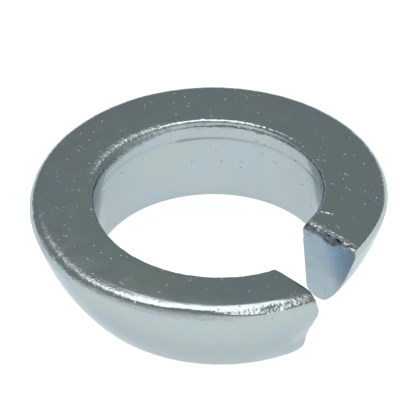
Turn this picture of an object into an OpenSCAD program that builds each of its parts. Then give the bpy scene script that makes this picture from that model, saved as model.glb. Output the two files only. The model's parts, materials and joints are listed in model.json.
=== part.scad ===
// Conical spring washer: one turn of shaped spring-steel wire, coiled left hand,
// cut through once and pressed so that its underside centres a wheel nut.
// The bore axis is Z, the nut face looks up and the split is centred on +X.

/* [Ring] */
// Bore diameter, a free fit on an M18 stud
bore_d = 18.5; // [15:0.1:23]
// Outside diameter over the rim
outer_d = 29.5; // [24.5:0.1:36]
// Height of the wire section, from the nut face to the foot
section_h = 8.3; // [6:0.1:12]

/* [Seat] */
// Radial width of the foot, bore wall to the edge of the seat
foot_w = 1.8; // [1.5:0.1:3]
// Radius of the bulged seat, seen in section
seat_r = 20; // [12:0.5:60]
// Round between the seat and the foot
foot_round = 0.5; // [0.2:0.1:1.2]

/* [Edges] */
// Radial reach of the rolled rim edge
rim_round_w = 1.65; // [0.6:0.05:2]
// Height of the rolled rim edge
rim_round_h = 1.05; // [0.4:0.05:1.6]
// Round between the nut face and the bore
bore_round = 0.4; // [0.2:0.05:0.8]
// Round between the foot and the bore
foot_bore_round = 1.1; // [0.3:0.1:1.2]

/* [Bore ledge] */
// Depth of the ledge below the nut face
ledge_depth = 1.45; // [0.9:0.05:3]
// Radial step of the ledge
ledge_step = 0.12; // [0.05:0.01:0.25]

/* [Split] */
// Width of the split, square to its two cut faces
gap_w = 3.4; // [1:0.1:8]
// Turn of the cut faces away from the radial line, in degrees
gap_skew = 1; // [0:0.5:12]
// Lean of the cut faces from the bore axis, in degrees
gap_lean = 5.5; // [0:0.5:15]
// Height from one end of the wire to the other
end_offset = 3.3; // [0:0.1:4.5]
// Share of that height taken up by the bent ends, the rest by an even coil
end_set = 0.9; // [0:0.05:1]

/* [Cropped ends] */
// How far the rim stands out at the upper end
flare = 0.3; // [0:0.05:0.8]
// Part of the turn that the flare and the squeeze take, in degrees
flare_span = 18; // [8:1:40]
// How far the rim corner of the lower end is worn back
corner_wear = 0.6; // [0:0.05:0.8]
// How far the seat is squeezed in at both cut faces
seat_pinch = 0.6; // [0:0.05:1]
// How far the crop rolled one edge of each cut face over
crop_roll = 0.35; // [0:0.05:0.8]
// Part of the turn that the rolled edge takes, in degrees
roll_span = 4.5; // [2:0.5:8]

/* [Smoothness] */
// Steps round the turn
turn_steps = 132; // [60:4:160]
// Steps round each rolled edge
round_steps = 5; // [3:1:6]

/* [Hidden] */

bore_r = bore_d / 2;
rim_r = outer_d / 2;
mid_r = (bore_r + rim_r) / 2;

// The swept section reaches into the bore, and a true cylinder then cuts the wall
bore_stock = 0.5;
// How far the edge rounds run past the wall, so that the cylinder crosses them
crossing = 0.03;

// Seat arc: from the widest part of the rim to the outer edge of the foot
seat_top = [rim_r, -rim_round_h];
seat_foot = [bore_r + foot_w, -section_h];
seat_chord = norm(seat_foot - seat_top);
seat_lean = atan2(seat_top.x - seat_foot.x, seat_top.y - seat_foot.y);
seat_half = asin(seat_chord / 2 / seat_r);
// Turn past the widest point at which the rim edge meets the seat smoothly
rim_turn = atan(rim_round_h / rim_round_w * tan(max(seat_lean - seat_half, 0)));
rim_steps = round_steps + 1;
seat_steps = 7;
// Steps over each rolled edge of a cut face
edge_steps = 4;

// Points along an arc of an ellipse, from angle a to angle b, measured from +r
function arc(center, w, h, a, b, steps) =
    [for (i = [0 : steps]) let (t = a + (b - a) * i / steps) center + [w * cos(t), h * sin(t)]];

// Rolled rim edge, from the nut face down to the seat
rim_edge = arc([rim_r - rim_round_w, -rim_round_h], rim_round_w, rim_round_h, 90, -rim_turn, rim_steps);

// Bulged seat, as an arc through its two ends
seat_start = rim_edge[rim_steps];
seat_axis = seat_foot - seat_start;
seat_span = norm(seat_axis);
seat_sweep = asin(seat_span / 2 / seat_r);
seat_inward = [seat_axis.y, -seat_axis.x] / seat_span;
seat_center = (seat_start + seat_foot) / 2 + seat_inward * seat_r * cos(seat_sweep);
seat_angle = atan2(seat_start.y - seat_center.y, seat_start.x - seat_center.x);
// Corner of the foot, rounded between the end of the seat and the flat
foot_slope = 90 - (seat_lean + seat_sweep);
foot_tangent = foot_round * tan(foot_slope / 2);
seat_kept = 2 * seat_sweep * (1 - foot_tangent / seat_span);
seat_curve = arc(seat_center, seat_r, seat_r, seat_angle, seat_angle - seat_kept, seat_steps);
foot_center = seat_foot + [-foot_tangent, foot_round];
foot_edge = arc(foot_center, foot_round, foot_round, foot_slope - 90, -90, 3);

// Inner edge of the foot, which ends a little inside the bore wall
foot_in_r = min(foot_bore_round, foot_w - foot_tangent - 0.15);
foot_in_center = [bore_r + foot_in_r - crossing, -section_h + foot_in_r];
foot_in_edge = arc(foot_in_center, foot_in_r, foot_in_r, -90, -180, round_steps - 1);
stock_foot = [bore_r - bore_stock, -section_h + foot_in_r];

// Ledge and rolled edge at the top of the bore
stock_ledge = [bore_r - bore_stock, -ledge_depth];
ledge = [[bore_r - crossing, -ledge_depth], [bore_r + ledge_step, -ledge_depth + ledge_step + crossing]];
bore_edge_center = [bore_r + ledge_step + bore_round, -bore_round];
bore_edge = arc(bore_edge_center, bore_round, bore_round, 180, 90, round_steps - 1);

section = concat(
    rim_edge,
    [for (i = [1 : seat_steps]) seat_curve[i]],
    foot_edge,
    foot_in_edge,
    [stock_foot, stock_ledge],
    ledge,
    bore_edge
);
section_size = len(section);

// The origin is on the bore axis, halfway up the bore wall at the back of the turn
face_z = (section_h - foot_in_r + ledge_depth) / 2;

// Height of the nut face at an angle round the turn: left hand, so it falls counterclockwise
function coil_z(angle) =
    let (left = 0.5 - angle / 360)
    face_z + end_offset * ((1 - end_set) * left + end_set * 4 * pow(left, 3));

// Angle at which a point of the section meets a cut face; side is 1 or -1
function cut_angle(point, side) =
    let (
        lean_shift = -tan(gap_lean) * (point.y + section_h / 2),
        outer = max(point.x - mid_r, 0) / (rim_r - mid_r),
        worn = side < 0 ? corner_wear * pow(outer, 3) * rim_share(point) : 0,
        square = side * (gap_w / 2 + worn) / cos(gap_skew) + lean_shift,
        reach = square - tan(gap_skew) * mid_r
    )
    gap_skew + asin(reach * cos(gap_skew) / point.x);

// 1 at the nut face, falling to 0 at the middle of the section's height
function rim_share(point) = max(1 + 2 * point.y / section_h, 0);

// Share of the section's width at a point, 0 at the bore and 1 at the rim
function width_share(point) = max(point.x - bore_r, 0) / (rim_r - bore_r);

// Outward shift of the rim near the upper end, where the crop spread the metal
function flare_shift(point, near) =
    let (outer = max(point.x - mid_r, 0) / (rim_r - mid_r))
    flare * near * near * outer * (1 + 2.6 * point.y / section_h);

// Inward shift of the seat near either end, most at half its height
function pinch_shift(point, near) =
    let (depth = min(max((-point.y - rim_round_h) / (section_h - rim_round_h), 0), 1))
    seat_pinch * near * near * sin(180 * depth) * width_share(point);

// Depth of the rolled edge, a quarter of an ellipse that starts roll_span from the cut
function roll_depth(beside) =
    let (into = min(max(1 - beside / roll_span, 0), 1))
    crop_roll * (1 - sqrt(1 - into * into));

// The nut face rolls over at the upper end, and the foot at the lower end
function roll_shift(point, beside, left) =
    let (
        high = min(max(1 + 3 * point.y / section_h, 0), 1) * (1 - 0.6 * width_share(point)),
        low = min(max(-2 - 3 * point.y / section_h, 0), 1)
    )
    roll_depth(left) * low - roll_depth(beside) * high;

// Share of the turn at a step, with the steps closed up over the rolled edges
function turn_share(step) =
    let (edge = roll_span / 360, inner = turn_steps - 2 * edge_steps)
    step < edge_steps ? edge * step / edge_steps
    : step > turn_steps - edge_steps ? 1 - edge * (turn_steps - step) / edge_steps
    : edge + (1 - 2 * edge) * (step - edge_steps) / inner;

// A point of the section, carried to its place along the coil
function swept(point, step) =
    let (
        start = cut_angle(point, 1),
        end = 360 + cut_angle(point, -1),
        angle = start + (end - start) * turn_share(step),
        beside = angle - start,
        left = end - angle,
        near = max(1 - beside / flare_span, 0),
        far = max(1 - left / flare_span, 0),
        r = point.x + flare_shift(point, near) - pinch_shift(point, near + far)
    )
    [r * cos(angle), r * sin(angle), point.y + coil_z(angle) + roll_shift(point, beside, left)];

module coiled_wire() {
    // A point inside the section, from which the cut faces are closed
    core = [mid_r - 0.5, -section_h / 2];
    points = concat(
        [for (step = [0 : turn_steps]) for (point = section) swept(point, step)],
        [swept(core, 0), swept(core, turn_steps)]
    );
    first_core = (turn_steps + 1) * section_size;
    last_ring = turn_steps * section_size;
    walls = [
        for (step = [0 : turn_steps - 1], i = [0 : section_size - 1])
            let (
                a = step * section_size + i,
                b = step * section_size + (i + 1) % section_size,
                c = a + section_size,
                d = b + section_size
            )
            each [[a, d, b], [a, c, d]]
    ];
    upper_cut = [for (i = [0 : section_size - 1]) [first_core, i, (i + 1) % section_size]];
    lower_cut = [
        for (i = [0 : section_size - 1])
            [first_core + 1, last_ring + (i + 1) % section_size, last_ring + i]
    ];
    polyhedron(points, concat(walls, upper_cut, lower_cut), convexity = 6);
}

module spring_washer() {
    color("lightsteelblue")
    difference() {
        coiled_wire();
        translate([0, 0, -2 * section_h]) cylinder(h = 4 * section_h, r = bore_r, $fn = 180);
    }
}

spring_washer();
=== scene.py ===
# Conical spring washer: a lesson in cells.
# One zinc-plated ring of spring steel, rolled from shaped wire, cropped and pressed.

# %% [markdown]
# ## The frame
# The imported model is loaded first. It gives the part's true size and place, in metres,
# with the bore axis on Z, the nut face up and the split on +X. Its box is kept, because
# the finished ring has to stay inside it.

import json
from math import asin, atan2, cos, degrees, pi, radians, sin, sqrt, tan

import bpy
from mathutils import Matrix, Vector, noise


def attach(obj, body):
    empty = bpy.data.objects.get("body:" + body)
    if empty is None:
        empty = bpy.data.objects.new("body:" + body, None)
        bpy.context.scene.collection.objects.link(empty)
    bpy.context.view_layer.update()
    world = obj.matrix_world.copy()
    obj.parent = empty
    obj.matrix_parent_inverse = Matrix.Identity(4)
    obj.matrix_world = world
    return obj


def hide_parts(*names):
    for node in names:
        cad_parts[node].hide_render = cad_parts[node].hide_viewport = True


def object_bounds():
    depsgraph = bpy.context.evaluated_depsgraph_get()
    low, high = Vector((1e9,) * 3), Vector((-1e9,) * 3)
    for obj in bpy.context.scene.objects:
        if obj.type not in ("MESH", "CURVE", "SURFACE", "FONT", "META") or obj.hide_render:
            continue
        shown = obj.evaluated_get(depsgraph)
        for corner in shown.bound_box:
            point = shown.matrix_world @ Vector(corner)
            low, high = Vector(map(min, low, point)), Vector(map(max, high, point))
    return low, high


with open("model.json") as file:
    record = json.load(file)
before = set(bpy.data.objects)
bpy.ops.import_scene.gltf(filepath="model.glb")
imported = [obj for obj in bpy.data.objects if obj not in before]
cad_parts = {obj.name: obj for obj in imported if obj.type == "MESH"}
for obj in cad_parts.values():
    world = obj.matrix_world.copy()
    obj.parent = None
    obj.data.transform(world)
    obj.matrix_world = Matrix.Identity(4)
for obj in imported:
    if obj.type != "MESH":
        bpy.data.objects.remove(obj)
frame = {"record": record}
cad_low, cad_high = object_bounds()
MM = 0.001


def in_mm(*lengths):
    """Lengths in millimetres, rounded for printing."""
    return [round(length / MM, 2) for length in lengths]


print("frame box in mm:", in_mm(*cad_low, *cad_high))

# %% [markdown]
# ## Driving sizes
# The bore and the rim come from the frame, so the ring follows it when it changes. The
# rest are the sizes a ring roller would write down: how high the wire is, how wide its
# foot is, and how high the nut face stands at the back of the ring.

# %% Driving sizes
stud_bore = next(m for m in frame["record"]["mounts"] if m["name"] == "stud_bore")
bore_r = stud_bore["dims"]["r_mm"] * MM
rim_r = -cad_low.y
wire_w = rim_r - bore_r
mid_r = bore_r + wire_w / 2
wire_h = 8.3 * MM
foot_w = 1.8 * MM
face_z = 4.33 * MM
print("bore radius, rim radius and wire width in mm:", in_mm(bore_r, rim_r, wire_w))

# %% [markdown]
# ## Camera
# The ring is seen from the front and well above, through a long lens, which keeps its
# far side nearly as large as its near side. The camera is aimed at the middle of the nut
# face and rolled by a degree, and a small shift puts the ring in its place in the frame.

# %% Camera
VIEW_AZIMUTH, VIEW_ELEVATION, VIEW_ROLL = radians(43.5), radians(39.4), radians(0.8)
VIEW_DISTANCE = 442 * MM
SENSOR_WIDTH, LENS = 36, 462
SHIFT_X, SHIFT_Y = 0.0037, -0.0383
CLIP_START, CLIP_END = 0.01, 10

bpy.ops.object.camera_add()
camera = bpy.context.object
camera.name = "camera"
aim = (
    Matrix.Rotation(VIEW_AZIMUTH, 4, "Z")
    @ Matrix.Rotation(pi / 2 - VIEW_ELEVATION, 4, "X")
    @ Matrix.Rotation(-VIEW_ROLL, 4, "Z")
)
aim_point = Matrix.Translation((0, 0, face_z))
camera.matrix_world = aim_point @ aim @ Matrix.Translation((0, 0, VIEW_DISTANCE))
camera.data.sensor_width, camera.data.lens = SENSOR_WIDTH, LENS
camera.data.shift_x, camera.data.shift_y = SHIFT_X, SHIFT_Y
camera.data.clip_start, camera.data.clip_end = CLIP_START, CLIP_END
bpy.context.scene.camera = camera
print("camera at", [round(v, 3) for v in camera.matrix_world.translation])

# %% [markdown]
# ## Floor
# A plain white sheet. Its colour alone makes the background white for the camera and in
# the metal's reflections: Light Path adds the missing light for those rays only, and the
# shadow of the ring stays on it. Math nodes join the kinds of rays. A helper makes them,
# and like every helper for materials here it works on the nodes opened last.


# %% Floor
def open_nodes(holder):
    """The nodes and links of a material or world."""
    holder.use_nodes = True
    return holder.node_tree.nodes, holder.node_tree.links


def combine(operation, one, other):
    """A Math node; each side is a socket or a number."""
    node = nodes.new("ShaderNodeMath")
    node.operation = operation
    for socket, value in zip(node.inputs, (one, other)):
        if isinstance(value, (int, float)):
            socket.default_value = value
        else:
            links.new(value, socket)
    return node.outputs[0]


FLOOR_SIZE = 3
PAPER_COLOUR, PAPER_ROUGHNESS = (0.5, 0.5, 0.5, 1), 0.9
FLOOR_LIFT = 0.84
FLOOR_LIFT_COLOUR = (0.99, 1.0, 1.0, 1)

bpy.ops.mesh.primitive_plane_add(size=FLOOR_SIZE, location=(0, 0, cad_low.z))
floor = bpy.context.object
floor.name = "floor"

paper = bpy.data.materials.new("white paper")
nodes, links = open_nodes(paper)
paper_inputs = nodes["Principled BSDF"].inputs
paper_inputs["Base Color"].default_value = PAPER_COLOUR
paper_inputs["Roughness"].default_value = PAPER_ROUGHNESS
paper_inputs["Specular IOR Level"].default_value = 0.0
paper_inputs["Emission Color"].default_value = FLOOR_LIFT_COLOUR
rays = nodes.new("ShaderNodeLightPath").outputs
lifted = combine("MAXIMUM", rays["Is Camera Ray"], rays["Is Glossy Ray"])
lifted = combine("MAXIMUM", lifted, rays["Is Transmission Ray"])
links.new(combine("MULTIPLY", lifted, FLOOR_LIFT), paper_inputs["Emission Strength"])
floor.data.materials.append(paper)
print("floor in mm:", in_mm(cad_low.z))

# %% [markdown]
# ## Studio
# Bright metal shows the room around it, so the room is drawn first, as the world's
# light. It is a plain grey above a low white edge, where the paper runs up, and on the
# camera's side a tall card fades from white into the grey. Two helpers draw it: one
# turns a value into a fade, and one lays a colour over another by such a fade. The
# camera sees white instead of the room.


# %% Room
def ramp(value, low, high, to_low=0.0, to_high=1.0):
    """A fade that is to_low where the value is low, and to_high where it is high."""
    node = nodes.new("ShaderNodeMapRange")
    numbers = {"From Min": low, "From Max": high, "To Min": to_low, "To Max": to_high}
    for name, number in numbers.items():
        node.inputs[name].default_value = number
    links.new(value, node.inputs["Value"])
    return node.outputs["Result"]


def cover(under, share, colour):
    """Lay a share of a colour over what is under it, a colour or a socket."""
    node = nodes.new("ShaderNodeMix")
    node.data_type = "RGBA"
    if isinstance(under, tuple):
        node.inputs["A"].default_value = under
    else:
        links.new(under, node.inputs["A"])
    node.inputs["B"].default_value = colour
    links.new(share, node.inputs["Factor"])
    return node.outputs["Result"]


EDGE_LOW, EDGE_HIGH = sin(radians(-3)), sin(radians(9))
CARD_LOW, CARD_HIGH = sin(radians(20)), sin(radians(63))
CARD_SIDE, CARD_MIDDLE = 0.1, 0.6
ROOM_WHITE = (1.04, 1.0, 0.96, 1)
CARD_WHITE = (1.03, 0.99, 0.93, 1)
ROOM_GREY = (0.285, 0.315, 0.3, 1)
CAMERA_WHITE = (1, 1, 1, 1)

world = bpy.data.worlds.new("studio")
bpy.context.scene.world = world
nodes, links = open_nodes(world)
nodes.clear()
direction = nodes.new("ShaderNodeTexCoord").outputs["Generated"]
parts = nodes.new("ShaderNodeSeparateXYZ")
links.new(direction, parts.inputs[0])
upward = parts.outputs["Z"]
to_front = nodes.new("ShaderNodeVectorMath")
to_front.operation = "DOT_PRODUCT"
to_front.inputs[1].default_value = (sin(VIEW_AZIMUTH), -cos(VIEW_AZIMUTH), 0)
links.new(direction, to_front.inputs[0])
beside_camera = ramp(to_front.outputs["Value"], CARD_SIDE, CARD_MIDDLE)
card_share = combine("MULTIPLY", ramp(upward, CARD_HIGH, CARD_LOW), beside_camera)
room_colour = cover(ROOM_GREY, card_share, CARD_WHITE)
room_colour = cover(room_colour, ramp(upward, EDGE_HIGH, EDGE_LOW), ROOM_WHITE)

room_light = nodes.new("ShaderNodeBackground")
links.new(room_colour, room_light.inputs["Color"])
camera_white = nodes.new("ShaderNodeBackground")
camera_white.inputs["Color"].default_value = CAMERA_WHITE
seen_by = nodes.new("ShaderNodeMixShader")
rays = nodes.new("ShaderNodeLightPath").outputs
links.new(rays["Is Camera Ray"], seen_by.inputs["Fac"])
links.new(room_light.outputs[0], seen_by.inputs[1])
links.new(camera_white.outputs[0], seen_by.inputs[2])
world_out = nodes.new("ShaderNodeOutputWorld")
links.new(seen_by.outputs[0], world_out.inputs["Surface"])
bpy.context.scene.view_settings.view_transform = "Standard"
print("room white up to", round(degrees(asin(EDGE_HIGH))), "degrees")

# %% [markdown]
# One soft lamp, as large as a tea tray, hangs half a metre over the ring and a little
# behind it. The rolled edges show it as a thin bright line, and its warm white makes the
# zinc look less blue where it is brightest.

# %% Lamp
LAMP_HEIGHT, LAMP_WIDTH, LAMP_DEPTH = 0.5, 0.36, 0.44
LAMP_SHIFT = 0.12
LAMP_GLOW = 2.0
LAMP_COLOUR = (1.0, 0.985, 0.93)

lamp_place = Matrix.Rotation(VIEW_AZIMUTH, 3, "Z") @ Vector((0, LAMP_SHIFT, LAMP_HEIGHT))
bpy.ops.object.light_add(type="AREA", location=lamp_place, rotation=(0, 0, VIEW_AZIMUTH))
lamp = bpy.context.object
lamp.name = "soft_lamp"
lamp.data.shape = "RECTANGLE"
lamp.data.size = LAMP_WIDTH
lamp.data.size_y = LAMP_DEPTH
lamp.data.energy = LAMP_GLOW * pi * LAMP_WIDTH * LAMP_DEPTH
lamp.data.color = LAMP_COLOUR
print("lamp over", [round(v, 2) for v in lamp_place], "m,", round(lamp.data.energy, 2), "W")

# %% [markdown]
# ## The wire's section
# The ring is rolled from shaped wire: flat on top where the nut turns on it, straight at
# the bore, and leaning in below so that it centres itself in the wheel's seat. A plane
# of the wire's width and height stands upright at the bore. Its face is removed, and the
# four edges that stay are shaped into the section, because a loop of edges can be spun
# into a wall, while a filled face would leave walls inside the steel.

# %% Stand a plane where the wire passes the split
bpy.ops.object.select_all(action="DESELECT")
wire_centre = (mid_r, 0, -wire_h / 2)
bpy.ops.mesh.primitive_plane_add(size=1, location=wire_centre, rotation=(pi / 2, 0, 0))
ring = bpy.context.object
ring.name = "washer_ring"
bpy.ops.object.transform_apply(location=True, rotation=True, scale=True)
bpy.ops.object.mode_set(mode="EDIT")
bpy.ops.transform.resize(value=(wire_w, 1, wire_h), center_override=wire_centre)
bpy.ops.mesh.delete(type="ONLY_FACE")
print("loop of", len(ring.data.edges), "edges")

# %% [markdown]
# An operator works on what is selected, so a helper selects points by their place, and a
# second one moves them. The outer side gets one more point, the widest place of the rim,
# and then the lower corner moves in to the foot, which tapers the wire. The bore side
# gets two more points for the small ledge that the roll left under the nut face. The
# top falls a little towards the rim, so it gets one more point where that slope starts.


# %% Add the points of the rim and the ledge, then taper the wire
TOUCH = 0.01 * MM


def near(point, x, z):
    return abs(point.x - x) < TOUCH and abs(point.z - z) < TOUCH


def select_points(chosen):
    bpy.ops.object.mode_set(mode="EDIT")
    bpy.ops.mesh.select_mode(type="VERT")
    bpy.ops.mesh.select_all(action="DESELECT")
    bpy.ops.object.mode_set(mode="OBJECT")
    for vertex in ring.data.vertices:
        vertex.select = chosen(vertex.co)
    picked = sum(vertex.select for vertex in ring.data.vertices)
    bpy.ops.object.mode_set(mode="EDIT")
    bpy.ops.mesh.select_mode(type="VERT")
    return picked


def move_point(x, z, to_x, to_z):
    select_points(lambda p: near(p, x, z))
    bpy.ops.transform.translate(value=(to_x - x, 0, to_z - z))


RIM_ROUND = 0.8 * MM
CROWN_WIDTH, CROWN_DROP = 2.4 * MM, 0.12 * MM
LEDGE_DEPTH, LEDGE_STEP, LEDGE_RISE = 1.9 * MM, 0.075 * MM, 0.42 * MM
foot_r = bore_r + foot_w
rim_low = -CROWN_DROP - RIM_ROUND
ledge_r = bore_r + LEDGE_STEP
ledge_top = -LEDGE_DEPTH + LEDGE_RISE

select_points(lambda p: abs(p.z) < TOUCH)
bpy.ops.mesh.subdivide(number_cuts=1)
move_point(mid_r, 0, rim_r - CROWN_WIDTH, 0)
move_point(rim_r, 0, rim_r, -CROWN_DROP)
select_points(lambda p: abs(p.x - rim_r) < TOUCH)
bpy.ops.mesh.subdivide(number_cuts=1)
move_point(rim_r, -(wire_h + CROWN_DROP) / 2, rim_r, rim_low)
move_point(rim_r, -wire_h, foot_r, -wire_h)

select_points(lambda p: abs(p.x - bore_r) < TOUCH)
bpy.ops.mesh.subdivide(number_cuts=2)
move_point(bore_r, -wire_h / 3, ledge_r, ledge_top)
move_point(bore_r, -wire_h * 2 / 3, bore_r, -LEDGE_DEPTH)
move_point(bore_r, 0, ledge_r, 0)
bpy.ops.object.mode_set(mode="OBJECT")
print("section corners in mm:", [in_mm(v.co.x, v.co.z) for v in ring.data.vertices])

# %% [markdown]
# ## Rounded corners
# Rolling leaves no sharp corner on the wire. Bevel on a point of a loop rounds that
# corner, so each one is picked by its place and given its own radius, with more steps
# where the round is large or catches the light. Points that meet are then merged.

# %% Round the corners
FOOT_ROUND, FOOT_BORE_ROUND, BORE_ROUND = 0.5 * MM, 1.1 * MM, 0.5 * MM
LEDGE_ROUND = 0.17 * MM
MERGE = 0.004 * MM

for x, z, radius, steps in (
    (rim_r, -CROWN_DROP, RIM_ROUND, 12),
    (rim_r - CROWN_WIDTH, 0, RIM_ROUND, 4),
    (ledge_r, ledge_top, LEDGE_ROUND, 3),
    (bore_r, -LEDGE_DEPTH, LEDGE_ROUND, 3),
    (foot_r, -wire_h, FOOT_ROUND, 5),
    (bore_r, -wire_h, FOOT_BORE_ROUND, 8),
    (ledge_r, 0, BORE_ROUND, 7),
):
    select_points(lambda p: near(p, x, z))
    bpy.ops.mesh.bevel(offset=radius, segments=steps, affect="VERTICES")
bpy.ops.mesh.select_all(action="SELECT")
bpy.ops.mesh.remove_doubles(threshold=MERGE)
bpy.ops.object.mode_set(mode="OBJECT")
print("section points after rounding:", len(ring.data.vertices))

# %% [markdown]
# The long straight edges are cut into short ones, about a fifth of a millimetre each,
# so that the steel can be bulged, bent and dented later.

# %% Cut the long edges short
EDGE_STEP = 0.2 * MM
SAME_POINT = 0.001 * MM

edge_ends = [
    [ring.data.vertices[i].co.copy() for i in edge.vertices] for edge in ring.data.edges
]
for start, end in edge_ends:
    cuts = round((start - end).length / EDGE_STEP) - 1
    if cuts > 0:
        select_points(lambda p: min((p - start).length, (p - end).length) < SAME_POINT)
        bpy.ops.mesh.subdivide(number_cuts=cuts)
        bpy.ops.object.mode_set(mode="OBJECT")
print("section points after cutting:", len(ring.data.vertices))

# %% [markdown]
# The seat isn't straight: it bulges a little, so that it also fits a ball-shaped seat.
# Its points are set out from the straight line by the height of a flat arc.

# %% Bulge the seat
SEAT_R = 20 * MM
SEAT_BAND = 0.15 * MM

seat_top, seat_foot = Vector((rim_r, rim_low)), Vector((foot_r, -wire_h))
seat_line = seat_foot - seat_top
seat_half = seat_line.length / 2
seat_way = seat_line.normalized()
seat_out = Vector((-seat_way.y, seat_way.x))
arc_drop = sqrt(SEAT_R**2 - seat_half**2)
bulged = 0
for vertex in ring.data.vertices:
    from_top = Vector((vertex.co.x, vertex.co.z)) - seat_top
    down, off = from_top.dot(seat_way), from_top.dot(seat_out)
    if 0 < down < 2 * seat_half and off > -SEAT_BAND:
        rise = sqrt(SEAT_R**2 - (down - seat_half) ** 2) - arc_drop
        vertex.co.x += seat_out.x * rise
        vertex.co.z += seat_out.y * rise
        bulged += 1
print("seat points bulged:", bulged, "by up to", in_mm(SEAT_R - arc_drop), "mm")

# %% [markdown]
# ## The ring
# Spin carries the section round the bore axis. It stops just short of a full turn, so
# that the first and the last section stay apart.

# %% Spin the section round the bore
TURN_STEPS = 560
TURN = radians(359.5)

bpy.ops.object.mode_set(mode="EDIT")
bpy.ops.mesh.select_all(action="SELECT")
bpy.ops.mesh.spin(
    steps=TURN_STEPS, angle=-TURN, center=(0, 0, 0), axis=(0, 0, 1), use_auto_merge=False
)
bpy.ops.object.mode_set(mode="OBJECT")
print("points after the spin:", len(ring.data.vertices), "faces:", len(ring.data.polygons))

# %% [markdown]
# ## Crop and set
# The wire is coiled left hand and cropped, so its two cut faces are parallel planes that
# lean from the bore axis, and one end stands higher than the other. No operator leans a
# face or bends a ring into such a coil without a window, so the points are carried there
# in code, as a press would: each one slides round on its own circle until the first and
# last sections lie in the cut planes, and is then lifted to the height of the coil.


# %% Slide the points round to the cut planes
GAP_W, GAP_SKEW, GAP_LEAN = 3.4 * MM, radians(1), radians(5.5)
CORNER_WEAR = 0.6 * MM
SPIN_SLACK = radians(0.2)


def clamp(value):
    """Hold a value between 0 and 1."""
    return min(max(value, 0), 1)


def outer_share(point_r):
    """0 up to the middle of the wire's width, 1 at the rim."""
    return max(point_r - mid_r, 0) / (rim_r - mid_r)


def cut_angle(point_r, depth, side):
    """Angle at which a circle of the ring meets a cut plane; side is 1 or -1."""
    lean_shift = -tan(GAP_LEAN) * (depth + wire_h / 2)
    upper_share = max(1 + 2 * depth / wire_h, 0)
    worn = CORNER_WEAR * outer_share(point_r) ** 3 * upper_share if side < 0 else 0
    square = side * (GAP_W / 2 + worn) / cos(GAP_SKEW) + lean_shift
    reach = square - tan(GAP_SKEW) * mid_r
    return GAP_SKEW + asin(reach * cos(GAP_SKEW) / point_r)


turn_places = []
for vertex in ring.data.vertices:
    point_r, depth = sqrt(vertex.co.x**2 + vertex.co.y**2), vertex.co.z
    share = (atan2(vertex.co.y, vertex.co.x) + SPIN_SLACK) % (2 * pi) / TURN
    share = clamp(share - SPIN_SLACK / TURN)
    start, end = cut_angle(point_r, depth, 1), 2 * pi + cut_angle(point_r, depth, -1)
    angle = start + (end - start) * share
    vertex.co.x, vertex.co.y = point_r * cos(angle), point_r * sin(angle)
    turn_places.append((point_r, depth, angle, angle - start, end - angle))
turned = [degrees(place[2]) for place in turn_places]
print("turn covered in degrees:", round(min(turned), 1), "to", round(max(turned), 1))

# %% [markdown]
# The two ends stand 3.3 mm apart in height. Most of that is bent in near the ends, so the
# coil is a line plus a cube: the line is the even part, and the cube grows at the ends.


# %% The height of the coil
END_OFFSET, END_SET = 3.3 * MM, 0.9


def coil_z(angle):
    """Height of the nut face at an angle round the turn."""
    left = 0.5 - angle / (2 * pi)
    return face_z + END_OFFSET * ((1 - END_SET) * left + END_SET * 4 * left**3)


print("nut face in mm, start, back and end:", in_mm(coil_z(0), coil_z(pi), coil_z(2 * pi)))

# %% [markdown]
# Cropping spoils the section near the cuts. The blade drags one long edge of each cut
# over in a small roll, deepest at the bore on the nut face. At the upper end the rim
# spreads and the seat bulges out, and at the lower end the seat is squeezed in and the
# foot stands out instead. A hump is the shape for all of these: 1 in its middle and 0 at
# its reach on either side.


# %% The crop's roll and its squeeze
CROP_ROLL, ROLL_SPAN = 0.35 * MM, 1.05 * MM
ROLL_MORE, ROLL_MORE_AT = 0.5, (0.5, 0.35)
ROLL_AT_BORE, ROLL_LOSS = 1.1, 0.95
END_ROLL, END_ROLL_SPAN = 0.3 * MM, 0.7 * MM
FLARE, FLARE_SPAN, FLARE_FALL = 0.3 * MM, radians(18), 2.6
BULGE_UPPER, BULGE_UPPER_AT = 0.15 * MM, (0.65, 0.5)
PINCH_LOWER, PINCH_LOWER_AT = 0.55 * MM, (0.52, 0.5)
BULGE_FOOT, BULGE_FOOT_AT = 0.3 * MM, (0.88, 0.25)


def hump(share, middle, reach):
    """1 at the middle, falling smoothly to 0 at the reach on either side."""
    return max(1 - ((share - middle) / reach) ** 2, 0) ** 2


def quarter_round(depth, into):
    """Depth of a rolled edge: 0 where it starts, and all of the depth at the cut."""
    return depth * (1 - sqrt(max(1 - into**2, 0)))


def roll_depth(from_cut, across):
    span = ROLL_SPAN * (1 + ROLL_MORE * hump(across, *ROLL_MORE_AT))
    return quarter_round(CROP_ROLL, max(1 - from_cut / span, 0))


def end_roll(from_cut):
    return quarter_round(END_ROLL, max(1 - from_cut / END_ROLL_SPAN, 0))


def roll_taper(across):
    """The roll is deepest at the bore and dies away towards the rim."""
    return ROLL_AT_BORE - ROLL_LOSS * across


def squeeze(point_r, depth, near_start, near_end):
    """How far the crop moved a point of the section outwards."""
    spread = FLARE * near_start**2 * outer_share(point_r) * (1 + FLARE_FALL * depth / wire_h)
    down = clamp((rim_low - depth) / (wire_h + rim_low))
    pinch = PINCH_LOWER * hump(down, *PINCH_LOWER_AT) - BULGE_FOOT * hump(down, *BULGE_FOOT_AT)
    pinch = pinch * near_end**2 - BULGE_UPPER * near_start**2 * hump(down, *BULGE_UPPER_AT)
    return spread - pinch * min(2 * max(point_r - bore_r, 0) / wire_w, 1)


rolled_over = [roll_depth(0, across) * roll_taper(across) for across in (0, 1)]
print("cut's edge rolled over at the bore and the rim, in mm:", in_mm(*rolled_over))

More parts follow.
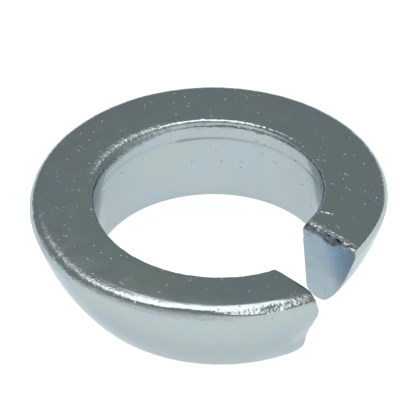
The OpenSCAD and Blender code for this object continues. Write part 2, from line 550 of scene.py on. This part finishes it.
# %% [markdown]
# The rolled edges aren't the same all round. Near both cuts the rim's round is filled out
# towards a sharp corner, because the wire was pressed against the die there. The bore's
# top edge is worn wider on the side opposite the split, where the nut rubs.


# %% Fill the rim's corner and wear the bore's edge
CORNER_FILL, FILL_SPAN = 0.6, radians(40)
END_FILL, END_FILL_AT = 0.65, (16, 28)
BORE_WEAR, BORE_WEAR_AT = 0.4 * MM, (190, 48)
WEAR_FADE = 1.1 * MM
WEAR_WIDER = 0.6
EDGE_NARROWER, EDGE_DEEPER = 0.05 * MM, 0.15 * MM


def fill_corner(point_r, depth, beside, left):
    """Carry a point of the rim's round part of the way out to the sharp corner."""
    out_r, out_z = point_r - (rim_r - RIM_ROUND), depth - rim_low
    reach = max(out_r, out_z) / RIM_ROUND
    fill = CORNER_FILL * max(1 - beside / FILL_SPAN, 0) ** 1.5
    fill = max(fill, END_FILL * hump(degrees(left), *END_FILL_AT))
    if min(out_r, out_z) <= 0 or reach >= 1:
        return point_r, depth
    grow = 1 + (1 / reach - 1) * fill
    return point_r + out_r * (grow - 1), depth + out_z * (grow - 1)


def bore_wear(angle):
    return BORE_WEAR * hump(degrees(angle), *BORE_WEAR_AT)


def widen_bore_edge(point_r, depth, angle):
    """Wear the bore's edge wider on one side of the turn."""
    in_r, in_z = point_r - ledge_r, -depth
    fade = max(1 - max(in_r - BORE_ROUND, 0) / WEAR_FADE, 0)
    fade *= max(1 - max(in_z - BORE_ROUND, 0) / WEAR_FADE, 0)
    wider = fade * (WEAR_WIDER * bore_wear(angle) - EDGE_NARROWER)
    deeper = fade * (bore_wear(angle) + EDGE_DEEPER)
    return point_r + wider * clamp(in_r / BORE_ROUND), depth - deeper * clamp(in_z / BORE_ROUND)


print("bore edge worn deeper by up to", in_mm(bore_wear(radians(BORE_WEAR_AT[0]))), "mm")

# %% [markdown]
# Towards the lower end the rolls pressed the rim in and sloped the nut face beside it, so
# that its edge lies further in and lower there. The press grows over 40 degrees of the
# turn and lets go a little just before the cut.


# %% The pressed shoulder
SHOULDER, SHOULDER_HEIGHT = 0.7 * MM, 4 * MM
SHOULDER_FROM, SHOULDER_TO = radians(83), radians(43)
EASE, EASE_FROM, EASE_SPAN = 0.33, radians(35), radians(15)
TIP_EASE, TIP_EASE_SPAN = 0.3, radians(12)
BEVEL_SLOPE, BEVEL_FROM, BEVEL_EASE = 0.17, 13.05 * MM, 0.45 * MM
BEVEL_MORE, BEVEL_MORE_AT = 1.4, (18, 18)
BEVEL_HEIGHT = 3 * MM


def shoulder_share(left):
    """1 over the last part of the turn, where the rolls pressed the rim in most."""
    grown = clamp((SHOULDER_FROM - left) / (SHOULDER_FROM - SHOULDER_TO))
    eased = EASE * clamp((EASE_FROM - left) / EASE_SPAN)
    tip_eased = TIP_EASE * max(1 - left / TIP_EASE_SPAN, 0)
    return grown * (1 - eased - tip_eased)


def shoulder_in(point_r, depth, left):
    fall = max(1 + depth / SHOULDER_HEIGHT, 0)
    return SHOULDER * shoulder_share(left) * outer_share(point_r) * fall


def bevel_drop(point_r, depth, left):
    """The slope that the rolls gave the nut face beside the rim there."""
    out = max(point_r - BEVEL_FROM, 0)
    run = out**2 / (2 * BEVEL_EASE) if out < BEVEL_EASE else out - BEVEL_EASE / 2
    slope = BEVEL_SLOPE * shoulder_share(left)
    slope *= 1 + BEVEL_MORE * hump(degrees(left), *BEVEL_MORE_AT)
    return slope * run * max(1 + depth / BEVEL_HEIGHT, 0)


print("rim pressed in at its top by up to", in_mm(shoulder_in(rim_r, 0, SHOULDER_TO)), "mm")

# %% [markdown]
# Now the press closes. Each point of the spun wall is moved in its section first, then
# out or in from the bore axis, and last it is lifted to the coil. The rolls of the cut
# edges reach a third of the wire's height, down from the nut face at the upper end and up
# from the foot at the lower end. The foot of the upper end curls up a little.

# %% Bend the ends apart and press the crop's marks in
FOOT_CURL = 0.25 * MM

for vertex, (spun_r, depth, angle, beside, left) in zip(ring.data.vertices, turn_places):
    point_r, depth = fill_corner(spun_r, depth, beside, left)
    point_r, depth = widen_bore_edge(point_r, depth, angle)
    across = max(point_r - bore_r, 0) / wire_w
    near_start, near_end = max(1 - beside / FLARE_SPAN, 0), max(1 - left / FLARE_SPAN, 0)
    pressed_in = shoulder_in(point_r, depth, left)
    grown = (point_r + squeeze(point_r, depth, near_start, near_end) - pressed_in) / spun_r
    on_top = clamp(1 + 3 * depth / wire_h) * roll_taper(across)
    on_foot = clamp(-2 - 3 * depth / wire_h)
    curl = FOOT_CURL * near_start * max(-2 * depth / wire_h - 1, 0)
    vertex.co.x *= grown
    vertex.co.y *= grown
    vertex.co.z = (
        depth
        + coil_z(angle)
        + curl
        - bevel_drop(spun_r * grown, depth, left)
        - end_roll(left * point_r) * on_top * across**2
        + roll_depth(left * point_r, across) * on_foot
        - roll_depth(beside * point_r, across) * on_top
    )
ring_heights = [vertex.co.z for vertex in ring.data.vertices]
print("ring height in mm:", in_mm(min(ring_heights), max(ring_heights)))

# %% [markdown]
# ## Cut faces
# The two open ends are closed. Each loop of edges is extruded towards its own middle and
# shrunk, again and again, and the last little loop is merged into one point. That leaves
# rings of small faces on the cut, where a single face would have nothing to dent.

# %% Close the ends with shrinking loops
CAP_RINGS = 14
AT_CUT = radians(0.01)
BESIDE, LEFT = 3, 4

for end_name, distance in (("upper", BESIDE), ("lower", LEFT)):
    loop = {
        tuple(vertex.co)
        for vertex, place in zip(ring.data.vertices, turn_places)
        if place[distance] < AT_CUT
    }
    middle = sum((Vector(point) for point in loop), Vector()) / len(loop)
    picked = select_points(lambda p: tuple(p) in loop)
    for rings_left in range(CAP_RINGS, 0, -1):
        bpy.ops.mesh.extrude_region()
        if rings_left > 1:
            shrink = (rings_left - 1) / rings_left
            bpy.ops.transform.resize(value=(shrink, shrink, shrink), center_override=middle)
    bpy.ops.mesh.merge(type="CENTER")
    print(end_name, "cut face closed from a loop of", picked, "points")
bpy.ops.mesh.select_all(action="SELECT")
bpy.ops.mesh.normals_make_consistent(inside=False)
bpy.ops.object.mode_set(mode="OBJECT")
print("ring now has", len(ring.data.polygons), "faces")

# %% [markdown]
# The crop's edges are crisp but not knife-sharp, and the plating rounds them a little
# more. They are the only edges with a sharp angle, so they are found by it, and Bevel
# turns each into a narrow strip that catches the light.

# %% Soften the crop's edges
CUT_EDGE, CUT_EDGE_STEPS = 0.07 * MM, 3
SHARP = radians(50)

bpy.ops.object.mode_set(mode="EDIT")
bpy.ops.mesh.select_mode(type="EDGE")
bpy.ops.mesh.select_all(action="DESELECT")
bpy.ops.mesh.edges_select_sharp(sharpness=SHARP)
bpy.ops.mesh.bevel(offset=CUT_EDGE, segments=CUT_EDGE_STEPS)
bpy.ops.object.mode_set(mode="OBJECT")
print("faces after the bevel:", len(ring.data.polygons))

# %% [markdown]
# ## Tool marks
# The crop leaves its own marks at the upper end: a torn band under the nut face, a crease
# on the cut and a row of dents on top. They are smaller than the faces of the mesh, so
# the faces there are divided first. A point's place along the wire tells where it is.


# %% Divide the faces where the tool marks go
ON_CUT = 0.1 * MM
TORN_ALONG, TORN_BELOW = 1.3 * MM, -1.6 * MM
CREASE_LOW, CREASE_HIGH, CREASE_OUT = -3.6 * MM, -2.1 * MM, 1.3 * MM
FACE_FADE = 0.3 * MM
DENTS_FROM, DENTS_TO, DENTS_OUT = 1.7 * MM, 3.2 * MM, 11.8 * MM


def turn_of(point):
    return atan2(point.y, point.x) % (2 * pi)


def wire_place(point):
    """Radius, depth below the nut face and distance from the upper cut."""
    point_r = sqrt(point.x**2 + point.y**2)
    depth = point.z - coil_z(turn_of(point))
    return point_r, depth, (turn_of(point) - cut_angle(point_r, depth, 1)) * point_r


def lower_cut_distance(point):
    point_r, depth, _ = wire_place(point)
    return (2 * pi + cut_angle(point_r, depth, -1) - turn_of(point)) * point_r


def on_crop_edge(point_r, depth, along):
    return along < TORN_ALONG and depth > TORN_BELOW


def on_crease(point_r, depth, along):
    return along < ON_CUT and CREASE_LOW < depth < CREASE_HIGH and point_r < bore_r + CREASE_OUT


def on_dent_row(point_r, depth, along):
    return depth > -FACE_FADE and point_r < DENTS_OUT and DENTS_FROM < along < DENTS_TO


def divide_faces(chosen, cuts):
    bpy.ops.object.mode_set(mode="EDIT")
    bpy.ops.mesh.select_mode(type="FACE")
    bpy.ops.mesh.select_all(action="DESELECT")
    bpy.ops.object.mode_set(mode="OBJECT")
    for face in ring.data.polygons:
        face.select = chosen(*wire_place(face.center))
    picked = sum(face.select for face in ring.data.polygons)
    bpy.ops.object.mode_set(mode="EDIT")
    bpy.ops.mesh.subdivide(number_cuts=cuts)
    bpy.ops.object.mode_set(mode="OBJECT")
    return picked


for chosen, cuts in ((on_crop_edge, 1), (on_crease, 2), (on_dent_row, 1)):
    print(chosen.__name__, "faces divided:", divide_faces(chosen, cuts))
print("faces now:", len(ring.data.polygons))

# %% [markdown]
# The torn band is where the steel broke instead of being cut. It reaches down in tongues
# and it leans in. Its lower part lies under the rolled edge and gets painted shade, a dark
# colour that stands in for the shade under the roll. The shares below say how much of it
# there is at a point.


# %% Where the steel is torn
TORN_AT_BORE = 0.42
TONGUES = ((0.55, (0.53, 0.17)), (0.25, (0.66, 0.14)))
TORN_WANDER, TORN_WAVES, TORN_SEED = 0.12, 2.2, (3, 7)
TORN_REACH, TORN_FADE, TORN_LOSS = 1.0 * MM, 0.3 * MM, 0.55
TORN_EDGE = 0.12 * MM
# The band of painted shade under the rolled edge: its wavering top and its end near the cut.
PAINTED_SHADE_WANDER, PAINTED_SHADE_WAVES, PAINTED_SHADE_SEED = 0.05 * MM, 3, (1, 5)
PAINTED_SHADE_EDGE, PAINTED_SHADE_ALONG = 0.06 * MM, 0.5 * MM
UNDER_ROLL = 0.3


def wander(distance, waves, seed):
    """Smooth noise along a line; each seed gives a line of its own."""
    return noise.noise(Vector((distance / MM * waves, *seed)))


def wire_share(point_r):
    """0 at the bore and 1 at the rim."""
    return clamp((point_r - bore_r) / wire_w)


def torn_depth(point_r):
    """How far down the cut the torn band reaches."""
    share = wire_share(point_r)
    reach = TORN_AT_BORE * (1 - share) ** 0.5
    reach += sum(length * hump(share, *where) for length, where in TONGUES)
    return (reach + TORN_WANDER * wander(point_r, TORN_WAVES, TORN_SEED)) * MM


def torn_share(point_r, depth, along):
    beside = clamp((TORN_REACH - along) / TORN_FADE)
    below = clamp((torn_depth(point_r) + CROP_ROLL + depth) / TORN_EDGE)
    return beside * below * (1 - TORN_LOSS * outer_share(point_r))


def painted_shade_share(point_r, depth, along):
    """Painted shade: the dark lower part of the torn band, under the rolled edge."""
    top = CROP_ROLL * roll_taper(wire_share(point_r))
    top += PAINTED_SHADE_WANDER * wander(point_r, PAINTED_SHADE_WAVES, PAINTED_SHADE_SEED)
    under_top = clamp((-depth - UNDER_ROLL * top) / TORN_EDGE)
    above_end = clamp((torn_depth(point_r) + top + depth) / PAINTED_SHADE_EDGE)
    return under_top * above_end if along < PAINTED_SHADE_ALONG else 0


print("torn band's depth in mm at the middle of the wire:", in_mm(torn_depth(mid_r)))

# %% [markdown]
# The crease is a shallow line that runs down and out from the bore side of the cut and
# bends away. The dents are a row of dots on the nut face, where the tool rested.


# %% The crease and the row of dents
CREASE_DEPTH, CREASE_WIDTH, CREASE_AT = 0.016, 0.2, (0.55, 0.6)
CREASE_START, CREASE_SLOPE = 2.45, 0.25
CREASE_BEND, CREASE_BEND_FROM = 0.35, 0.45
CREASE_WAVER, CREASE_WAVES = 0.1, 7
DENT_DEPTH, DENT_WIDTH, DENT_AT = 0.06, 0.16, (1.2, 1.2)
DENT_START, DENT_SLOPE = 2.03, 0.34
DENT_LEVEL, DENT_CHANGE, DENT_WAVES, DENT_SEED = 0.8, 1.6, 7, (11, 2)


def crease_height(point_r, depth, along):
    if along > ON_CUT or not CREASE_LOW < depth < CREASE_HIGH:
        return 0
    out = (point_r - bore_r) / MM
    bend = CREASE_BEND * max(out - CREASE_BEND_FROM, 0) ** 1.5
    line = -CREASE_START - CREASE_SLOPE * out - bend + CREASE_WAVER * sin(out * CREASE_WAVES)
    off = depth / MM - line
    return -CREASE_DEPTH * hump(out, *CREASE_AT) * hump(off, 0, CREASE_WIDTH) * MM


def dent_height(point_r, depth, along):
    if depth < -FACE_FADE:
        return 0
    out = (point_r - bore_r) / MM
    off = along / MM - DENT_START - DENT_SLOPE * out
    dots = max(DENT_LEVEL + DENT_CHANGE * wander(point_r - bore_r, DENT_WAVES, DENT_SEED), 0)
    return -DENT_DEPTH * hump(off, 0, DENT_WIDTH) * hump(out, *DENT_AT) * dots * MM


print("crease", CREASE_DEPTH, "mm deep, dents about", round(DENT_DEPTH * DENT_LEVEL, 3), "mm")

# %% [markdown]
# The rolled edges are lumpy, more so on two stretches of the rim and one of the bore's
# edge. How much of a point lies on a rolled edge, and how rough it is there, are shares
# too. So is the bluest patch of the upper cut, which only the colour uses.


# %% Where the edges are rolled, rough or blue
EDGE_FADE = 0.4 * MM
RIM_ROUGH_AT, RIM_END_ROUGH, RIM_END_ROUGH_AT = (255, 32), 0.7, (349, 10)
BORE_ROUGH_AT = (178, 45)
BLUEST_R, BLUEST_DEPTH = (12.8, 1.9), (-1.9, 2.0)


def corner_share(one, other):
    """1 on a rounded corner, falling to 0 a little way past its ends."""
    return clamp(1 + min(one, other) / EDGE_FADE)


def rim_share(point_r, depth, left):
    point_r += shoulder_in(point_r, depth, left)
    return corner_share(point_r - (rim_r - RIM_ROUND), depth - rim_low)


def bore_share(point_r, depth, angle):
    worn_round = BORE_ROUND + bore_wear(angle)
    return corner_share(ledge_r + worn_round - point_r, depth + worn_round)


def worn_share(angle, on_rim, on_bore):
    """The rougher parts of the rolled edges."""
    turned = degrees(angle)
    rim_end = RIM_END_ROUGH * hump(turned, *RIM_END_ROUGH_AT)
    rough_rim = max(hump(turned, *RIM_ROUGH_AT), rim_end)
    return max(on_rim * rough_rim, on_bore * hump(turned, *BORE_ROUGH_AT))


def bluing_share(point_r, depth, along):
    """The bluest patch of the upper cut."""
    if along > ON_CUT:
        return 0
    return hump(point_r / MM, *BLUEST_R) * hump(depth / MM, *BLUEST_DEPTH)


rough_stretches = (RIM_ROUGH_AT, RIM_END_ROUGH_AT, BORE_ROUGH_AT)
print("edges roughest at", [middle for middle, _ in rough_stretches], "degrees")

# %% [markdown]
# Each mark is a height over the smooth surface, and every point moves by the sum of them
# along its normal. A roughness is noise in one or two layers, each with its size in
# millimetres and its strength, sunk so far that it presses into the steel and the ring
# stays inside its box. The shares are kept as attributes of the mesh, because the
# material reads them later.


# %% Press the marks in
LUMP = (0.02 * MM, 0.9, ((1.3, 1), (0.55, 0.6)))
TEAR = (0.06 * MM, 0.4, ((0.4, 1), (0.2, 0.5)))
FINE_LUMP = (0.03 * MM, 0.5, ((0.3, 1),))
UNEVEN = (0.005 * MM, 1, ((2.5, 1),))
BORE_FINE = 0.8
TILT, TILT_ALONG = 0.5, 0.3 * MM
CUT_FADE = 0.06 * MM


def roughness_at(spot, height, sunk, layers):
    return height * (sum(part * noise.noise(spot / size) for size, part in layers) - sunk)


# One share marks where shade is painted under the upper cut's rolled edge.
shares = {name: [] for name in ("rolled", "torn", "cut", "painted_shade", "face", "worn", "blued")}
heights = []
for vertex in ring.data.vertices:
    spot = vertex.co / MM
    wire_spot = wire_place(vertex.co)
    point_r, depth, along = wire_spot
    angle, left = turn_of(vertex.co), lower_cut_distance(vertex.co)
    on_rim = rim_share(point_r, depth, left / point_r)
    on_bore = bore_share(point_r, depth, angle)
    rolled, torn = max(on_rim, on_bore), torn_share(*wire_spot)
    worn = worn_share(angle, on_rim, on_bore)
    to_cut = min(along, left)
    at_point = (
        rolled, torn, clamp(1 - to_cut / CUT_FADE), painted_shade_share(*wire_spot),
        clamp(1 + depth / FACE_FADE), worn, bluing_share(*wire_spot),
    )
    for values, value in zip(shares.values(), at_point):
        values.append(value)
    height = roughness_at(spot, *LUMP) * rolled
    height += roughness_at(spot, *FINE_LUMP) * max(on_bore * BORE_FINE, worn)
    height += roughness_at(spot, *TEAR) * torn + roughness_at(spot, *UNEVEN)
    height += crease_height(*wire_spot) + dent_height(*wire_spot)
    tilt = max(torn_depth(point_r) + depth, 0) if along < TILT_ALONG else 0
    heights.append(height - TILT * tilt * min(torn * 2, 1))
normals = [vertex.normal.copy() for vertex in ring.data.vertices]
for vertex, normal, height in zip(ring.data.vertices, normals, heights):
    vertex.co += normal * height
for name, values in shares.items():
    ring.data.attributes.new(name, "FLOAT", "POINT").data.foreach_set("value", values)
bpy.ops.object.shade_smooth_by_angle(angle=SHARP)
print("marks in mm:", round(min(heights) / MM, 3), "to", round(max(heights) / MM, 3))

# %% [markdown]
# ## Zinc plate
# Bright zinc is a metal, so its colour is the colour of what it reflects, darkened and
# slightly blue. Clear passivation lies over it as a film that is violet where it is thin,
# at the rim of the nut face, and blue or green in soft patches elsewhere. The plate
# isn't quite even: fine grain, pits, and short scratches from handling. All of it is
# noise on the ring's own coordinates, so that it stays on the steel and has no seam.


# %% Zinc plate: open the material
zinc = bpy.data.materials.new("zinc plate")
nodes, links = open_nodes(zinc)
zinc_inputs = nodes["Principled BSDF"].inputs
on_ring = nodes.new("ShaderNodeTexCoord").outputs["Object"]


def share_of(name):
    node = nodes.new("ShaderNodeAttribute")
    node.attribute_name = name
    return node.outputs["Fac"]


rolled_edge, torn_band, cut_face, painted_shade_band, nut_face, worn_edge, blue_patch = (
    share_of(name) for name in shares
)
print("shares read by the material:", ", ".join(shares))

# %% [markdown]
# The surface is a height for Bump. Noise in patches raises it, over the whole ring or
# only on a rolled, torn or worn part. Pits and scratches are cut into it: they are the
# cells of a Voronoi pattern, some of them left out, and stretched to make a scratch.


# %% Zinc plate: surface
def patches(size, detail):
    """Noise whose patches are about this many millimetres wide."""
    node = nodes.new("ShaderNodeTexNoise")
    node.inputs["Scale"].default_value = 1 / (size * MM)
    node.inputs["Detail"].default_value = detail
    links.new(on_ring, node.inputs["Vector"])
    return node.outputs["Fac"]


def raised(size, detail, height, where=None):
    """Patches as a height in millimetres, everywhere or only where a share says."""
    pattern = patches(size, detail)
    if where is not None:
        pattern = combine("MULTIPLY", pattern, where)
    return combine("MULTIPLY", pattern, height)


def pits(spacing, width, kept, turn=0.0, stretch=1.0):
    """Small round pits, or scratches when stretched: 1 in the middle, 0 outside."""
    turned = nodes.new("ShaderNodeMapping")
    turned.inputs["Rotation"].default_value = (0, 0, turn)
    turned.inputs["Scale"].default_value = (1 / stretch, 1, 1)
    cells = nodes.new("ShaderNodeTexVoronoi")
    cells.inputs["Scale"].default_value = 1 / (spacing * MM)
    links.new(on_ring, turned.inputs["Vector"])
    links.new(turned.outputs[0], cells.inputs["Vector"])
    pit = ramp(cells.outputs["Distance"], 0, width / spacing / 2, 1, 0)
    chosen = combine("LESS_THAN", cells.outputs["Color"], kept)
    return combine("MULTIPLY", pit, chosen)


GRAIN = {"size": 0.12, "detail": 3, "height": 0.0015}
PEEL = {"size": 0.7, "detail": 2, "height": 0.004}
LUMPS = {"size": 0.3, "detail": 2, "height": 0.03}
TEARS = {"size": 0.22, "detail": 3, "height": 0.09}
SCUFFS = {"size": 0.18, "detail": 3, "height": 0.06}
LARGE_PITS = {"spacing": 0.8, "width": 0.18, "kept": 0.6}
SMALL_PITS = {"spacing": 0.42, "width": 0.12, "kept": 0.36}
SCRATCHES = {"spacing": 0.5, "width": 0.12, "kept": 0.42, "turn": radians(20), "stretch": 8}
CROSSING = {"spacing": 0.6, "width": 0.12, "kept": 0.3, "turn": radians(115), "stretch": 6}
LARGE_PIT_DEPTH, SMALL_PIT_DEPTH = 0.03, 0.02
SCRATCH_DEPTH, CROSSING_DEPTH = 0.026, 0.022

height = raised(**GRAIN)
for layer in (
    raised(**PEEL),
    raised(**LUMPS, where=rolled_edge),
    raised(**TEARS, where=torn_band),
    raised(**SCUFFS, where=worn_edge),
):
    height = combine("ADD", height, layer)
large_pits, small_pits = pits(**LARGE_PITS), pits(**SMALL_PITS)
for mark, mark_depth in (
    (large_pits, LARGE_PIT_DEPTH),
    (small_pits, SMALL_PIT_DEPTH),
    (pits(**SCRATCHES), SCRATCH_DEPTH),
    (pits(**CROSSING), CROSSING_DEPTH),
):
    height = combine("SUBTRACT", height, combine("MULTIPLY", mark, mark_depth))
bump = nodes.new("ShaderNodeBump")
bump.inputs["Distance"].default_value = MM
links.new(height, bump.inputs["Height"])
links.new(bump.outputs[0], zinc_inputs["Normal"])
print("zinc surface of", len(nodes), "nodes")

# %% [markdown]
# Bright plate is nearly a mirror, smoother in some patches than in others. It is duller
# where the crop tore or cut the steel, and where the edges are worn. A helper turns
# patches of noise into such a share, at its least under one level of the noise and at its
# most over another.


# %% Zinc plate: gloss
def patchy(size, detail, low, high, least=0.0, most=1.0):
    return ramp(patches(size, detail), low, high, least, most)


SMOOTH, SATIN = 0.13, 0.2
GLOSS_PATCHES = {"size": 1.5, "detail": 4, "low": 0.3, "high": 0.7}
TORN_DULLER, CUT_DULLER, WORN_DULLER = 0.08, 0.12, 0.12

roughness = patchy(**GLOSS_PATCHES, least=SMOOTH, most=SATIN)
for where, duller in (
    (torn_band, TORN_DULLER), (cut_face, CUT_DULLER), (worn_edge, WORN_DULLER)
):
    roughness = combine("ADD", roughness, combine("MULTIPLY", where, duller))
links.new(roughness, zinc_inputs["Roughness"])
print("roughness from", SMOOTH, "to", round(SATIN + CUT_DULLER + WORN_DULLER, 2))

# %% [markdown]
# The colour is laid on in films, one over the other, each in its own patches or only
# where a share says: first the soft colours of the passivation, then the bluer cut, painted
# shade under the upper cut's rolled edge, and a darker colour in the pits.

# %% Zinc plate: colour
ZINC = (0.425, 0.482, 0.5, 1)
BLUE_FILM = (0.395, 0.48, 0.535, 1)
GREEN_FILM = (0.425, 0.49, 0.485, 1)
VIOLET_FILM = (0.45, 0.45, 0.54, 1)
CUT_FILM = (0.32, 0.4, 0.47, 1)
CUT_BLUE = (0.3, 0.44, 0.57, 1)
# Painted shade: the dark colour under the upper cut's rolled edge.
PAINTED_SHADE = (0.17, 0.17, 0.2, 1)
PIT_DARK, PIT_DARK_SHARE = (0.16, 0.17, 0.19, 1), 0.6
EDGE_TINT = (0.8, 0.83, 0.85, 1)
VIOLET_FROM, VIOLET_TO = 12 * MM, 14 * MM
BLUE_PATCHES = {"size": 3.5, "detail": 3, "low": 0.4, "high": 0.65}
GREEN_PATCHES = {"size": 4.5, "detail": 3, "low": 0.45, "high": 0.7}
VIOLET_PATCHES = {"size": 5, "detail": 1, "low": 0.35, "high": 0.65, "most": 0.9}
CUT_PATCHES = {"size": 1.6, "detail": 2, "low": 0.3, "high": 0.6, "least": 0.6}
PAINTED_SHADE_PATCHES = {"size": 0.5, "detail": 2, "low": 0.3, "high": 0.6, "least": 0.6}

parts = nodes.new("ShaderNodeSeparateXYZ")
links.new(on_ring, parts.inputs[0])
squares = [combine("POWER", parts.outputs[axis], 2) for axis in ("X", "Y")]
from_axis = combine("SQRT", combine("ADD", *squares), 0)
outer_face = combine("MULTIPLY", ramp(from_axis, VIOLET_FROM, VIOLET_TO), nut_face)
# The pits are painted a little darker.
darkened_pits = combine("MULTIPLY", combine("MAXIMUM", large_pits, small_pits), PIT_DARK_SHARE)

colour = ZINC
for share, film in (
    (patchy(**BLUE_PATCHES), BLUE_FILM),
    (patchy(**GREEN_PATCHES), GREEN_FILM),
    (combine("MULTIPLY", outer_face, patchy(**VIOLET_PATCHES)), VIOLET_FILM),
    (combine("MULTIPLY", cut_face, patchy(**CUT_PATCHES)), CUT_FILM),
    (combine("MULTIPLY", cut_face, blue_patch), CUT_BLUE),
    # painted shade under the upper cut's rolled edge
    (combine("MULTIPLY", painted_shade_band, patchy(**PAINTED_SHADE_PATCHES)), PAINTED_SHADE),
    (darkened_pits, PIT_DARK),
):
    colour = cover(colour, share, film)
links.new(colour, zinc_inputs["Base Color"])
zinc_inputs["Metallic"].default_value = 1.0
zinc_inputs["Specular Tint"].default_value = EDGE_TINT
ring.data.materials.append(zinc)
print("material", zinc.name, "with", len(nodes), "nodes")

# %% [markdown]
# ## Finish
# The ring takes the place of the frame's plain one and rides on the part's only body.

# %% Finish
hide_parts("spring_washer")
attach(ring, "root")
